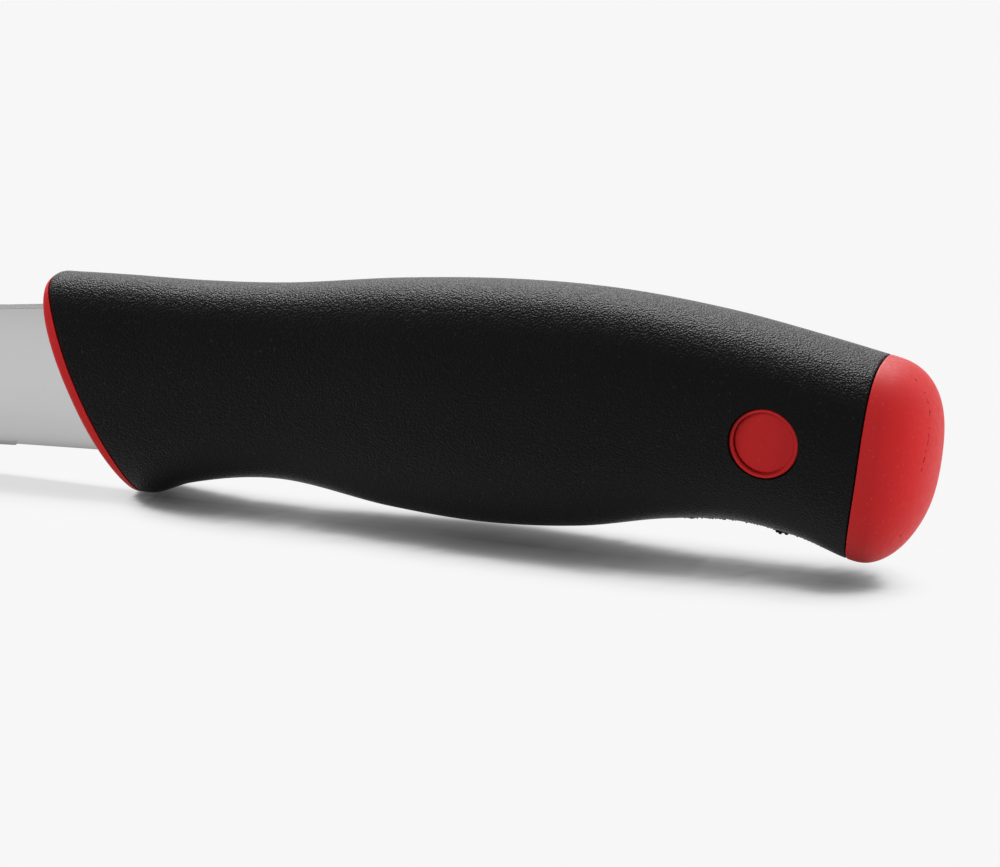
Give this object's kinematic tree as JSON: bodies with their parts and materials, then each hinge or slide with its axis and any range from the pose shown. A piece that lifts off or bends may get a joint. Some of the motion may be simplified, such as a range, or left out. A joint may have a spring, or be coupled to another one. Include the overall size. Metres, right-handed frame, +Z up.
{
  "type": "paring knife",
  "caption": "Paring knife: flat-ground steel blade on a hidden tang, soft black grip over a hard core, red front collar, round badge and domed butt cap",
  "frame": {"origin": "on the surface that the knife stands on, under the middle of its box", "axes": "+X from the blade's point to the butt, +Y to the side without the badge, +Z up from the edge to the spine"},
  "size_m": [0.2026, 0.0196, 0.0317],
  "materials": {
    "blade_steel": "satin ground",
    "pin_steel": "plain drawn",
    "red_plastic": "smooth moulded",
    "core_plastic": "as moulded",
    "soft_black": "fine spark-eroded grain"
  },
  "bodies": {
    "root": {"blade": "blade_steel", "front_collar": "red_plastic", "handle_core": "core_plastic", "tang_pin_front": "pin_steel", "tang_pin_rear": "pin_steel", "grip": "soft_black", "badge": "red_plastic", "butt_cap": "red_plastic"}
  },
  "joints": []
}
